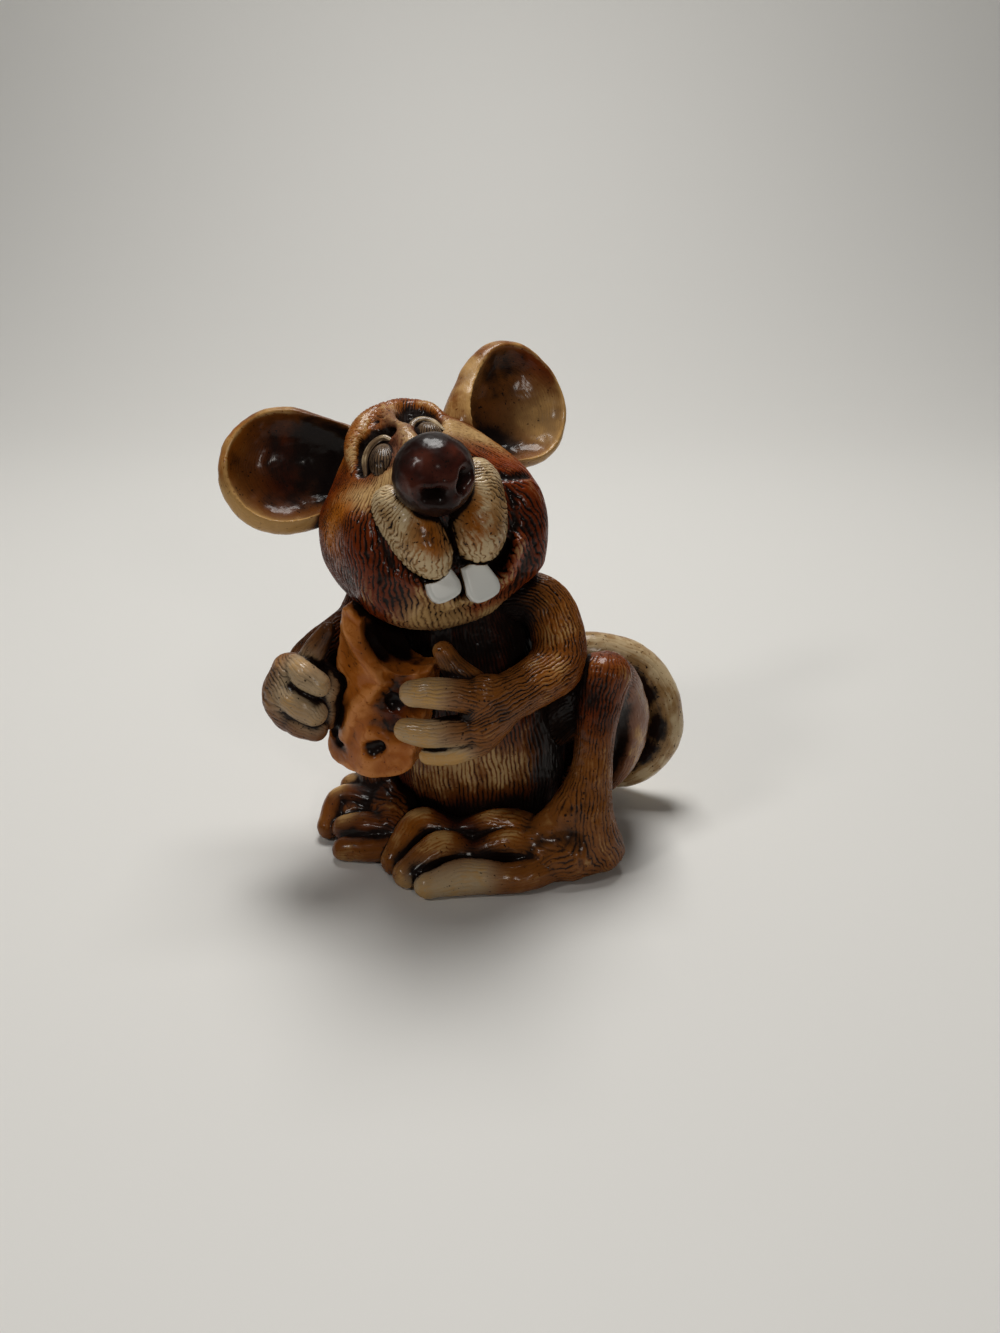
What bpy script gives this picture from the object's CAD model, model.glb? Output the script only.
# %% [markdown]
# # A glazed rat with its cheese
# The figure is fired stoneware. Its maker rolled and pinched lumps of clay, pressed them together, drew
# the hair with a needle, flooded the whole with dark oxide, wiped the high places clean and glazed it.
# The script goes the same way: lumps and rolls of clay, then the drawn hair, the oxide and the glaze.

# %% The frame
import math

import bmesh
import bpy
import numpy as np
from mathutils import Matrix, Vector


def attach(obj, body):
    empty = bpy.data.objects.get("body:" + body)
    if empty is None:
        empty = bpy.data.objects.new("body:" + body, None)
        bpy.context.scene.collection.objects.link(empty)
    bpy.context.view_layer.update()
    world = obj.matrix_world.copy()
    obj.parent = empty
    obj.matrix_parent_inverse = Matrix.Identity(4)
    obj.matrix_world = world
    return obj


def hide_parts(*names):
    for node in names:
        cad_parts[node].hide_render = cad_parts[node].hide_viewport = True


MM = 0.001
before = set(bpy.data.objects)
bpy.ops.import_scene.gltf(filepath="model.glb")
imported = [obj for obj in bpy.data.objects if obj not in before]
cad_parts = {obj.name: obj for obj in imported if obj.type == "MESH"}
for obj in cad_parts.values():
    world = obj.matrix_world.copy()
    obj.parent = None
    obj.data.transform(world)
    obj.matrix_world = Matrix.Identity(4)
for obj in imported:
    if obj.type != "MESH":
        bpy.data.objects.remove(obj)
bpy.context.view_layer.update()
scene = bpy.context.scene
print("CAD nodes:", sorted(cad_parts))

# %% [markdown]
# ## Nodes from code
# Both shaders and Geometry Nodes are trees of nodes. They could be drawn by hand in the editor, but a
# tree that is written down can be read and changed in one place. One small function adds a node, sets
# its choices and fills its inputs: a socket is linked, and a plain value is written in.

# %% Adding objects and nodes


def add_object(name, data):
    made = bpy.data.objects.new(name, data)
    scene.collection.objects.link(made)
    return made


def add_node(tree, kind, inputs=None, **choices):
    made = tree.nodes.new(kind)
    for name, value in choices.items():
        setattr(made, name, value)
    for key, value in (inputs or {}).items():
        if isinstance(value, bpy.types.NodeSocket):
            tree.links.new(value, made.inputs[key])
        else:
            made.inputs[key].default_value = value
    return made


def math_node(tree, operation, a, b=0.0):
    return add_node(tree, "ShaderNodeMath", {0: a, 1: b}, operation=operation).outputs[0]


def fade(tree, value, low, high, first=0.0, last=1.0):
    inputs = {"Value": value, "From Min": low, "From Max": high, "To Min": first, "To Max": last}
    return add_node(tree, "ShaderNodeMapRange", inputs, interpolation_type="SMOOTHSTEP").outputs[0]


def noise(tree, vector, scale, detail, roughness=0.5):
    inputs = {"Vector": vector, "Scale": scale, "Detail": detail, "Roughness": roughness}
    return add_node(tree, "ShaderNodeTexNoise", inputs).outputs[0]


def new_group(name, kind, inputs, outputs):
    tree = bpy.data.node_groups.new(name, kind)
    for label, socket, value in inputs:
        made = tree.interface.new_socket(label, in_out="INPUT", socket_type="NodeSocket" + socket)
        if value is not None:
            made.default_value = value
    for label, socket in outputs:
        tree.interface.new_socket(label, in_out="OUTPUT", socket_type="NodeSocket" + socket)
    return tree, tree.nodes.new("NodeGroupInput").outputs, tree.nodes.new("NodeGroupOutput").inputs


# %% [markdown]
# ## Camera, floor and light
# The camera stands at the figure's front left, a little above it. A pale floor runs up into a backdrop in
# one sheet, because an edge behind the figure would draw the eye. Area lamps give soft shade: a broad one
# overhead, and two small ones in front, whose reflections show how glossy the glaze is.

# %% Camera
CAMERA_PLACE = (153.6, -165.8, 134.9)
CAMERA_TURN = math.radians(42)
CAMERA_DROP = math.radians(24)
SENSOR = 36
LENS = 31.06
camera = add_object("camera", bpy.data.cameras.new("camera"))
camera.data.sensor_fit = "VERTICAL"
camera.data.sensor_height = SENSOR
camera.data.lens = LENS
camera.location = Vector(CAMERA_PLACE) * MM
camera.rotation_euler = (math.pi / 2 - CAMERA_DROP, 0, CAMERA_TURN)
scene.camera = camera
scene.view_settings.view_transform = "Standard"
print(f"camera: {camera.location.length / MM:.0f} mm from the figure's foot")

# %% Floor and backdrop
FLOOR_SIZE = 1.6
FLOOR_COLOUR = (0.72, 0.715, 0.69, 1)
FLOOR_ROUGHNESS = 0.6
BEND_START = 0.35
BEND_RADIUS = 0.3
BEND_STEPS = 12


def pale_finish():
    material = bpy.data.materials.new("pale_floor")
    material.use_nodes = True
    shader = material.node_tree.nodes["Principled BSDF"]
    shader.inputs["Roughness"].default_value = FLOOR_ROUGHNESS
    shader.inputs["Base Color"].default_value = FLOOR_COLOUR
    return material


profile = [(-FLOOR_SIZE, 0.0), (BEND_START, 0.0)]
for step in range(1, BEND_STEPS + 1):
    bend = math.radians(90 * step / BEND_STEPS)
    profile.append((BEND_START + BEND_RADIUS * math.sin(bend), BEND_RADIUS - BEND_RADIUS * math.cos(bend)))
profile.append((BEND_START + BEND_RADIUS, FLOOR_SIZE))
turn = Matrix.Rotation(CAMERA_TURN, 4, "Z")
sheet_points = [turn @ Vector((x, y, z)) for y, z in profile for x in (-FLOOR_SIZE, FLOOR_SIZE)]
sheet_faces = [(2 * i, 2 * i + 1, 2 * i + 3, 2 * i + 2) for i in range(len(profile) - 1)]
floor = add_object("floor", bpy.data.meshes.new("floor"))
floor.data.from_pydata(sheet_points, [], sheet_faces)
floor.data.polygons.foreach_set("use_smooth", [True] * len(sheet_faces))
floor.data.materials.append(pale_finish())
print(f"floor: {len(sheet_faces)} strips")

# %% Lamps
LAMPS = {
    "overhead": {"place": (-0.16, 0.16, 0.70), "size": 0.30, "power": 4.4, "colour": (1.0, 0.98, 0.95)},
    "front": {"place": (-0.10, -0.48, 0.50), "size": 0.09, "power": 0.64, "colour": (1.0, 0.97, 0.93)},
    "left": {"place": (0.55, -0.30, 0.32), "size": 0.08, "power": 0.42, "colour": (1.0, 0.95, 0.88)},
}
AIM = Vector((0, 0, 0.05))
WORLD_COLOUR = (0.92, 0.94, 0.97, 1)
WORLD_STRENGTH = 0.03
for name, lamp in LAMPS.items():
    light = bpy.data.lights.new(name, "AREA")
    light.size = lamp["size"]
    light.energy = lamp["power"]
    light.color = lamp["colour"]
    holder = add_object(name, light)
    holder.location = lamp["place"]
    holder.rotation_euler = (AIM - Vector(lamp["place"])).to_track_quat("-Z", "Y").to_euler()
world = bpy.data.worlds.new("sky")
scene.world = world
world.use_nodes = True
sky = world.node_tree.nodes["Background"]
sky.inputs["Color"].default_value = WORLD_COLOUR
sky.inputs["Strength"].default_value = WORLD_STRENGTH
print("lamps:", ", ".join(LAMPS))

# %% [markdown]
# ## Oxide and glaze
# The oxide lies where the wiping rag could not reach: in the drawn hair, in hollows and between pieces.
# A painted picture could show that, but numbers on the points follow the clay wherever it is changed. They
# say how much oxide a point keeps (wash), its own colour (tint), where its drawn hair runs (lane, count,
# hair), how hollow it is (hollow) and how shut in (shelter). One shader group turns these into a colour,
# so that all the clays share one finish.

# %% Strokes of a needle
STROKE_SPREAD = 0.3
LIGHT_PRESS = 0.32
FULL_PRESS = 0.58
LIGHT_SHARE = 0.15


def hair_strokes(tree, lane, count, width):
    """Strokes side by side round a form: the lane holds a place on a circle, and how far along it is.

    The needle pressed lightly here and there, and a stroke keeps only a small share of its depth."""
    parts = add_node(tree, "ShaderNodeSeparateXYZ", {0: lane}).outputs
    turn = math_node(tree, "DIVIDE", math_node(tree, "ARCTAN2", parts[1], parts[0]), 2 * math.pi)
    phase = math_node(tree, "FRACT", math_node(tree, "MULTIPLY", turn, count))
    off = math_node(tree, "ABSOLUTE", math_node(tree, "SUBTRACT", phase, 0.5))
    line = fade(tree, off, 0.0, width, 1.0, 0.0)
    spread = math_node(tree, "MULTIPLY", count, STROKE_SPREAD)
    across = [math_node(tree, "MULTIPLY", parts[k], spread) for k in (0, 1)]
    row = add_node(tree, "ShaderNodeCombineXYZ", {0: across[0], 1: across[1], 2: parts[2]}).outputs[0]
    press = fade(tree, noise(tree, row, 1.0, 1.0), LIGHT_PRESS, FULL_PRESS, LIGHT_SHARE, 1.0)
    return math_node(tree, "MULTIPLY", line, press), row


# %% Clay, oxide and what stains
BARE_CLAY = (0.56, 0.385, 0.19, 1)
OXIDE = (0.010, 0.0042, 0.0026, 1)
STREAK_SCALE = 1.6
BLOTCH_SCALE = 210.0
FLECK_SCALE = 1500.0
FLECK_RANGE = (0.62, 0.74)
FLECK_STAIN = 0.6
SHELTER_RANGE = (0.22, 0.58)
SHELTER_STAIN = 1.05
HOLLOW_STAIN = 2.0
TINTED = 0.5
BLACKENED = 1.15
GLOSS_RANGE = (0.3, 1.2)
SMOOTH_GLAZE = 0.27
ROUGH_GLAZE = 0.6
STREAK_RELIEF = 0.5
print("stain of flecks, shelter and hollows:", FLECK_STAIN, SHELTER_STAIN, HOLLOW_STAIN)

# %% The oxide group


def build_oxide_group():
    tree, given, out = new_group(
        "oxide_wash",
        "ShaderNodeTree",
        [
            ("Bare", "Color", BARE_CLAY),
            ("Grain", "Float", 0.5),
            ("Streaks", "Float", 0.3),
            ("Strokes", "Float", 0.5),
            ("Stroke Width", "Float", 0.27),
        ],
        [
            ("Color", "Color"),
            ("Roughness", "Float"),
            ("Height", "Float"),
        ],
    )

    def point(name, output="Fac"):
        return add_node(tree, "ShaderNodeAttribute", attribute_name=name).outputs[output]

    def times(a, b):
        return math_node(tree, "MULTIPLY", a, b)

    def uneven(vector, scale, detail):
        return math_node(tree, "SUBTRACT", noise(tree, vector, scale, detail), 0.5)

    def mixed(share, first, second):
        return add_node(tree, "ShaderNodeMix", {0: share, 6: first, 7: second}, data_type="RGBA").outputs[2]

    where = add_node(tree, "ShaderNodeTexCoord").outputs["Object"]
    lane = point("lane", "Vector")
    line, row = hair_strokes(tree, lane, point("count"), given["Stroke Width"])
    stroke = times(line, point("hair"))
    streak = times(uneven(row, STREAK_SCALE, 2.0), given["Streaks"])
    blotch = times(uneven(where, BLOTCH_SCALE, 4.0), given["Grain"])
    specks = fade(tree, noise(tree, where, FLECK_SCALE, 3.0), *FLECK_RANGE, 0.0, FLECK_STAIN)
    fleck = times(specks, given["Grain"])
    shelter = fade(tree, point("shelter"), *SHELTER_RANGE, 0.0, SHELTER_STAIN)
    stain = point("wash")
    hollow = times(point("hollow"), HOLLOW_STAIN)
    for more in (times(stroke, given["Strokes"]), streak, blotch, fleck, hollow, shelter):
        stain = math_node(tree, "ADD", stain, more)
    clay = mixed(fade(tree, stain, 0.0, TINTED), given["Bare"], point("tint", "Color"))
    tree.links.new(mixed(fade(tree, stain, TINTED, BLACKENED), clay, OXIDE), out["Color"])
    tree.links.new(fade(tree, stain, *GLOSS_RANGE, SMOOTH_GLAZE, ROUGH_GLAZE), out["Roughness"])
    tree.links.new(math_node(tree, "SUBTRACT", times(streak, STREAK_RELIEF), stroke), out["Height"])
    return tree


oxide_group = build_oxide_group()
print("shader group:", oxide_group.name)

# %% The glazes
GLAZE_INPUTS = ("Grain", "Streaks", "Strokes", "Bare")
GLAZES = {
    "brown_glaze": (1.2, 0.3, 0.45, (0.50, 0.31, 0.13, 1)),
    "tan_glaze": (1.1, 0.3, 0.23, (0.52, 0.30, 0.105, 1)),
    "cream_glaze": (2.1, 0.5, 0.62, (0.57, 0.43, 0.25, 1)),
    "dark_glaze": (2.2, 0.0, 0.0, (0.07, 0.019, 0.012, 1)),
    "white_glaze": (0.1, 0.0, 0.0, (0.74, 0.745, 0.71, 1)),
    "orange_glaze": (0.9, 0.2, 0.5, (0.60, 0.23, 0.06, 1)),
}
SHINE = 0.07
COAT = 0.28
THIN_COAT = 0.26
THINLY_COATED = ("dark_glaze", "white_glaze")
COAT_ROUGHNESS = 0.16
BUMP_STRENGTH = 0.35
BUMP_DISTANCE = 0.0004


def glaze(name, values):
    material = bpy.data.materials.new(name)
    material.use_nodes = True
    tree = material.node_tree
    shader = tree.nodes["Principled BSDF"]
    oxide = add_node(tree, "ShaderNodeGroup", node_tree=oxide_group)
    for label, value in zip(GLAZE_INPUTS, values):
        oxide.inputs[label].default_value = value
    relief = {"Height": oxide.outputs["Height"], "Strength": BUMP_STRENGTH, "Distance": BUMP_DISTANCE}
    bump = add_node(tree, "ShaderNodeBump", relief)
    tree.links.new(oxide.outputs["Color"], shader.inputs["Base Color"])
    tree.links.new(oxide.outputs["Roughness"], shader.inputs["Roughness"])
    tree.links.new(bump.outputs["Normal"], shader.inputs["Normal"])
    shader.inputs["Specular IOR Level"].default_value = SHINE
    shader.inputs["Coat Weight"].default_value = THIN_COAT if name in THINLY_COATED else COAT
    shader.inputs["Coat Roughness"].default_value = COAT_ROUGHNESS
    return material


glazes = {name: glaze(name, values) for name, values in GLAZES.items()}
print("glazes:", ", ".join(glazes))

# %% [markdown]
# ## Numbers on points
# A mesh keeps numbers on its points as attributes. These few helpers read and write places, normals and
# attributes as whole arrays, in millimetres, because a loop over a hundred thousand points is slow.

# %% Points and attributes


def points_of(obj):
    values = np.empty(len(obj.data.vertices) * 3, np.float32)
    obj.data.vertices.foreach_get("co", values)
    return values.reshape(-1, 3).astype(float) / MM


def move_points(obj, points):
    obj.data.vertices.foreach_set("co", (points * MM).astype(np.float32).ravel())
    obj.data.update()


def normals_of(obj):
    values = np.empty(len(obj.data.vertices) * 3, np.float32)
    obj.data.vertex_normals.foreach_get("vector", values)
    return values.reshape(-1, 3).astype(float)


def store(obj, name, values, kind="FLOAT"):
    field = {"FLOAT": "value", "FLOAT_VECTOR": "vector", "FLOAT_COLOR": "color"}[kind]
    layer = obj.data.attributes.get(name) or obj.data.attributes.new(name, kind, "POINT")
    layer.data.foreach_set(field, np.asarray(values, np.float32).ravel())


def read(obj, name):
    values = np.empty(len(obj.data.vertices), np.float32)
    obj.data.attributes[name].data.foreach_get("value", values)
    return values.astype(float)


def unit(vectors):
    return vectors / np.maximum(np.linalg.norm(vectors, axis=-1, keepdims=True), 1e-9)


def distance_to(points, line):
    """Distance of each point from a line of one or more places."""
    line = np.asarray(line, float)
    best = np.linalg.norm(points - line[0], axis=1)
    for a, b in zip(line[:-1], line[1:]):
        share = np.clip((points - a) @ (b - a) / ((b - a) @ (b - a)), 0, 1)[:, None]
        best = np.minimum(best, np.linalg.norm(points - a - share * (b - a), axis=1))
    return best


print("3 mm beside a line:", distance_to(np.array([[3.0, 0, 0]]), [(0, 0, -5), (0, 0, 5)]))


# %% [markdown]
# ## Rolls and lumps of clay
# Limbs, fingers, toes and the tail are rolls of clay that follow a path. A roll is drawn as a row of
# stations, each with a place and a thickness, and a smooth curve is passed through them. Geometry Nodes
# sweep a circle along the curve. Booleans would leave hard seams where rolls meet, so a voxel remesh
# joins the rolls of one piece into one skin, as a wet thumb joins clay, and smoothing rounds the joints.

# %% Paths
END_TURNS = (25, 50, 70, 84)


def smooth_path(stations, each=8):
    """A dense path of x, y, z and radius through the stations, in mm.

    It is a Catmull-Rom curve. Its knots are spaced by the root of the gaps, so that it makes no loops."""
    rows = np.asarray(stations, float)
    padded = np.vstack([2 * rows[0] - rows[1], rows, 2 * rows[-1] - rows[-2]])
    dense = []
    for a, b, c, d in zip(padded[:-3], padded[1:-2], padded[2:-1], padded[3:]):
        gaps = [np.linalg.norm(v[:3] - u[:3]) ** 0.5 for u, v in ((a, b), (b, c), (c, d))]
        k = np.concatenate([[0], np.cumsum(gaps)])
        t = np.linspace(k[1], k[2], each, endpoint=False)[:, None]
        ab = (a * (k[1] - t) + b * (t - k[0])) / (k[1] - k[0])
        bc = (b * (k[2] - t) + c * (t - k[1])) / (k[2] - k[1])
        cd = (c * (k[3] - t) + d * (t - k[2])) / (k[3] - k[2])
        abc = (ab * (k[2] - t) + bc * (t - k[0])) / (k[2] - k[0])
        bcd = (bc * (k[3] - t) + cd * (t - k[1])) / (k[3] - k[1])
        dense.append((abc * (k[2] - t) + bcd * (t - k[1])) / (k[2] - k[1]))
    return np.vstack(dense + [rows[-1:]])


def rounded_ends(path):
    """The path with a row at each of a few turns of a round cap, at both ends."""
    turns = np.radians(END_TURNS)[:, None]
    ends = []
    for end, inner in ((path[0], path[1]), (path[-1], path[-2])):
        outward = (end - inner)[:3]
        outward = outward / np.linalg.norm(outward)
        cap = end[:3] + outward * end[3] * np.sin(turns)
        ends.append(np.hstack([cap, end[3] * np.cos(turns)]))
    return np.vstack([ends[0][::-1], path, ends[1]])


print("rows on a path of 3 stations:", len(smooth_path([[0, 0, 0, 1], [0, 0, 9, 2], [0, 4, 20, 1]])))


# %% The roll tree


def build_roll_tree():
    tree, given, out = new_group(
        "rolled_clay",
        "GeometryNodeTree",
        [
            ("Geometry", "Geometry", None),
            ("Sides", "Int", 20),
            ("Grow", "Float", 0.0),
            ("Material", "Material", None),
        ],
        [("Geometry", "Geometry")],
    )
    curve = add_node(tree, "GeometryNodeMeshToCurve", {"Mesh": given["Geometry"]})
    thick = add_node(tree, "GeometryNodeInputNamedAttribute", {"Name": "thick"}, data_type="FLOAT")
    girth = math_node(tree, "ADD", thick.outputs["Attribute"], given["Grow"])
    circle = {"Resolution": given["Sides"], "Radius": 1.0}
    ring = add_node(tree, "GeometryNodeCurvePrimitiveCircle", circle).outputs[0]
    sweep = {"Curve": curve.outputs[0], "Profile Curve": ring, "Scale": girth, "Fill Caps": True}
    tube = add_node(tree, "GeometryNodeCurveToMesh", sweep)
    real = add_node(tree, "GeometryNodeRealizeInstances", {"Geometry": tube.outputs[0]})
    finish = {"Geometry": real.outputs[0], "Material": given["Material"]}
    coated = add_node(tree, "GeometryNodeSetMaterial", finish)
    tree.links.new(coated.outputs[0], out["Geometry"])
    return tree


roll_tree = build_roll_tree()
print("node tree:", roll_tree.name)

# %% Trees and meshes


def run_tree(obj, tree, values):
    modifier = obj.modifiers.new(tree.name, "NODES")
    modifier.node_group = tree
    for item in tree.interface.items_tree:
        if item.item_type == "SOCKET" and item.in_out == "INPUT" and item.name in values:
            modifier[item.identifier] = values[item.name]


def plain(obj):
    """Turns what the modifiers make into the object's own mesh, and removes them."""
    shown = obj.evaluated_get(bpy.context.evaluated_depsgraph_get())
    mesh = bpy.data.meshes.new_from_object(shown)
    old = obj.data
    obj.modifiers.clear()
    obj.data = mesh
    bpy.data.meshes.remove(old)
    return obj


def new_object(name, points, edges=(), faces=()):
    mesh = bpy.data.meshes.new(name)
    mesh.from_pydata((np.asarray(points) * MM).tolist(), edges, faces)
    return add_object(name, mesh)


# %% Working the clay


def knead(obj, voxel, soften):
    """Joins everything in the object into one skin and smooths it."""
    join = obj.modifiers.new("join", "REMESH")
    join.mode = "VOXEL"
    join.voxel_size = voxel * MM
    smooth = obj.modifiers.new("soften", "SMOOTH")
    smooth.factor = 0.5
    smooth.iterations = soften
    return plain(obj)


def dent(obj, size, depth):
    """Leaves the clay a little uneven, as fingers do: the size and depth of the dents are in mm."""
    cloud = bpy.data.textures.new("dents", "CLOUDS")
    cloud.noise_scale = size * MM
    uneven = obj.modifiers.new("uneven", "DISPLACE")
    uneven.texture = cloud
    uneven.texture_coords = "LOCAL"
    uneven.strength = depth * MM
    return plain(obj)


def rolls(name, paths, flat_start=False, grow=0.0):
    """Rolls of clay along the paths, in one object."""
    points = []
    edges = []
    for path in paths:
        rows = path if flat_start else rounded_ends(path)
        first = len(points)
        points.extend(rows.tolist())
        edges.extend((first + i, first + i + 1) for i in range(len(rows) - 1))
    rows = np.array(points)
    obj = new_object(name, rows[:, :3], edges)
    store(obj, "thick", rows[:, 3] * MM)
    run_tree(obj, roll_tree, {"Grow": grow * MM, "Material": glazes["tan_glaze"]})
    return plain(obj)


# %% Soft mounds
FACE_DEPTH = 6
FACE_FADE = 1.5


def soft_step(values, middle, width):
    """Nought below the middle and one above it, with a soft step between."""
    return 1 / (1 + np.exp(-(values - middle) / width))


def bell(points, line, width, height=1.0, power=2):
    """A soft mound on a line of places. Places of two numbers, x and z, are on the front of the face."""
    if len(line[0]) == 2:
        away = distance_to(points[:, [0, 2]], line)
        return height * np.exp(-((away / width) ** power)) * soft_step(-points[:, 1], FACE_DEPTH, FACE_FADE)
    return height * np.exp(-((distance_to(points, line) / width) ** power))


def lift_of(points, swells):
    """How far lines lift the points: each line has its places, a height and a width."""
    lift = np.zeros(len(points))
    for line, height, width in swells:
        lift += bell(points, line, width, height)
    return lift[:, None]


trial_points = np.array([[0.0, 0, 0], [2, 0, 0], [4, 0, 0]])
print("a mound 2 mm wide, at 0, 2 and 4 mm:", bell(trial_points, [(0, 0, 0)], 2).round(3))


# %% Lumps


def ball(name, radii, detail=6):
    body = bmesh.new()
    bmesh.ops.create_icosphere(body, subdivisions=detail, radius=1)
    obj = add_object(name, bpy.data.meshes.new(name))
    body.to_mesh(obj.data)
    body.free()
    move_points(obj, points_of(obj) * MM * np.asarray(radii, float))
    return obj


def swollen_ball(name, radii, swells, detail=6):
    """A ball that swells along lines, straight out from its middle."""
    obj = ball(name, radii, detail)
    points = points_of(obj)
    outward = unit(points / np.asarray(radii, float))
    move_points(obj, points + outward * lift_of(points, swells))
    return obj


def place(obj, matrix):
    obj.data.transform(matrix)
    return obj


def absorb(obj, *others):
    """Adds the meshes of other objects to this one and removes them."""
    body = bmesh.new()
    body.from_mesh(obj.data)
    for other in others:
        body.from_mesh(other.data)
        bpy.data.objects.remove(other)
    body.to_mesh(obj.data)
    body.free()
    return obj


# %% [markdown]
# ## Drawn hair
# The maker drew the hair with a needle, stroke beside stroke. A bump in the material would not show at
# the outline, so the strokes are pressed into the mesh. Each point is given its place around and along
# its form, the flow. Geometry Nodes count how many strokes of a given pitch go round the form, let the
# flow sway, which gives the lane, and press the mesh in along the strokes. The shader reads the same
# lane for their fine dark lines, so relief and oxide fall together.

# %% The hair tree
SEED_STEP = 7.3
SWAY_SCALE = 190.0
SWAY_ROUGHNESS = 0.62


def store_layer(tree, shape, name, value, kind="FLOAT"):
    layer = {"Geometry": shape, "Name": name, "Value": value}
    kept = add_node(tree, "GeometryNodeStoreNamedAttribute", layer, data_type=kind, domain="POINT")
    return kept.outputs[0]


def build_hair_tree():
    tree, given, out = new_group(
        "drawn_hair",
        "GeometryNodeTree",
        [
            ("Geometry", "Geometry", None),
            ("Pitch", "Float", 1.0),
            ("Length", "Float", 8.0),
            ("Depth", "Float", 0.1),
            ("Sway", "Float", 1.0),
            ("Width", "Float", 0.4),
            ("Seed", "Float", 0.0),
        ],
        [("Geometry", "Geometry")],
    )

    def named(name, kind="FLOAT"):
        layer = add_node(tree, "GeometryNodeInputNamedAttribute", {"Name": name}, data_type=kind)
        return layer.outputs[0]

    def maths(operation, a, b=0.0):
        return math_node(tree, operation, a, b)

    flow = add_node(tree, "ShaderNodeSeparateXYZ", {0: named("flow", "FLOAT_VECTOR")}).outputs
    girth = named("girth")
    count = maths("ROUND", maths("DIVIDE", maths("MULTIPLY", girth, 2 * math.pi), given["Pitch"]))
    where = add_node(tree, "GeometryNodeInputPosition").outputs[0]
    wave = noise(tree, where, SWAY_SCALE, 4.0, SWAY_ROUGHNESS)
    sway = maths("DIVIDE", maths("MULTIPLY", maths("SUBTRACT", wave, 0.5), given["Sway"]), girth)
    angle = maths("ADD", maths("ARCTAN2", flow[1], flow[0]), sway)
    start = maths("MULTIPLY", given["Seed"], SEED_STEP)
    along = maths("ADD", maths("DIVIDE", flow[2], given["Length"]), start)
    ring = {0: maths("COSINE", angle), 1: maths("SINE", angle), 2: along}
    lane = add_node(tree, "ShaderNodeCombineXYZ", ring).outputs[0]
    strokes, row = hair_strokes(tree, lane, count, given["Width"])
    groove = maths("MULTIPLY", strokes, named("hair"))
    shape = store_layer(tree, given["Geometry"], "lane", lane, "FLOAT_VECTOR")
    shape = store_layer(tree, shape, "count", count)
    depth = maths("MULTIPLY", maths("MULTIPLY", groove, given["Depth"]), -MM)
    normal = add_node(tree, "GeometryNodeInputNormal").outputs[0]
    sunk = add_node(tree, "ShaderNodeVectorMath", {0: normal, "Scale": depth}, operation="SCALE")
    pressed = add_node(tree, "GeometryNodeSetPosition", {"Geometry": shape, "Offset": sunk.outputs[0]})
    tree.links.new(pressed.outputs[0], out["Geometry"])
    return tree


hair_tree = build_hair_tree()
print("node tree:", hair_tree.name)

# %% Drawing the hair


def draw_hair(obj, hair, **values):
    store(obj, "hair", np.broadcast_to(np.asarray(hair, float), len(obj.data.vertices)))
    run_tree(obj, hair_tree, values)
    plain(obj)


# %% Which way the hair lies
CHUNK = 5000
LIMB_SIDE = (0.3, 0.2, 1.0)
STAR_SIDE = (0.2, 0.1, 1.0)


def limb_flow(obj, paths):
    """Hair that runs along the rolls of a limb: each point follows the roll that it is nearest to."""
    points = points_of(obj)
    nearest = np.full(len(points), np.inf)
    flow = np.zeros((len(points), 3))
    girth = np.zeros(len(points))
    for path in paths:
        middles = path[:, :3]
        tangents = unit(np.gradient(middles, axis=0))
        side = unit(np.cross(tangents[0], LIMB_SIDE))
        # The side is carried along the path without a twist, so that strokes don't wind round the roll
        sides = []
        for tangent in tangents:
            side = unit(side - tangent * (side @ tangent))
            sides.append(side)
        sides = np.array(sides)
        lifts = np.cross(tangents, sides)
        lengths = np.concatenate([[0], np.cumsum(np.linalg.norm(np.diff(middles, axis=0), axis=1))])
        for start in range(0, len(points), CHUNK):
            part = slice(start, start + CHUNK)
            gap = np.linalg.norm(points[part, None] - middles[None], axis=2) - path[None, :, 3]
            i = gap.argmin(1)
            away = points[part] - middles[i]
            turned = unit(np.stack([(away * sides[i]).sum(1), (away * lifts[i]).sum(1)], 1))
            lane = np.column_stack([turned, lengths[i] + (away * tangents[i]).sum(1)])
            closer = gap.min(1) < nearest[part]
            flow[part][closer] = lane[closer]
            girth[part][closer] = path[:, 3].mean()
            nearest[part] = np.minimum(nearest[part], gap.min(1))
    store(obj, "flow", flow, "FLOAT_VECTOR")
    store(obj, "girth", girth)


def star_flow(obj, pole, axis, reach):
    """Hair that runs out from a pole: axis is the pole's direction, and reach the radius of the form."""
    away = points_of(obj) - np.asarray(pole, float)
    axis = unit(np.asarray(axis, float))
    side = unit(np.cross(axis, STAR_SIDE))
    lift = np.cross(axis, side)
    flat = np.stack([away @ side, away @ lift], 1)
    angle = np.arctan2(np.linalg.norm(flat, axis=1), away @ axis)
    store(obj, "flow", np.column_stack([unit(flat), angle * reach]), "FLOAT_VECTOR")
    store(obj, "girth", np.full(len(away), float(reach)))


# %% [markdown]
# ## Painting
# The oxides are dabbed on as with a soft brush. An image could be painted, but it needs an unwrapped mesh,
# and a dab needs only a place. Each dab is a line of places with a width, the oxide that stays there and
# its colour. A dab reaches through a thin piece, so a piece can say where dabs take.

# %% Tints and dabs
MAHOGANY = (0.085, 0.012, 0.0015)
RUSSET = (0.165, 0.024, 0.002)
AMBER = (0.350, 0.105, 0.009)
GOLD = (0.215, 0.070, 0.011)
TAN = (0.33, 0.19, 0.075)
ROSE = (0.21, 0.085, 0.045)
ORANGE = (0.38, 0.105, 0.011)
UMBER = (0.028, 0.010, 0.005)
BLACK_BROWN = (0.010, 0.004, 0.003)
VERMILION = (0.300, 0.050, 0.004)
CREAM = (0.56, 0.44, 0.27)


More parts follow.
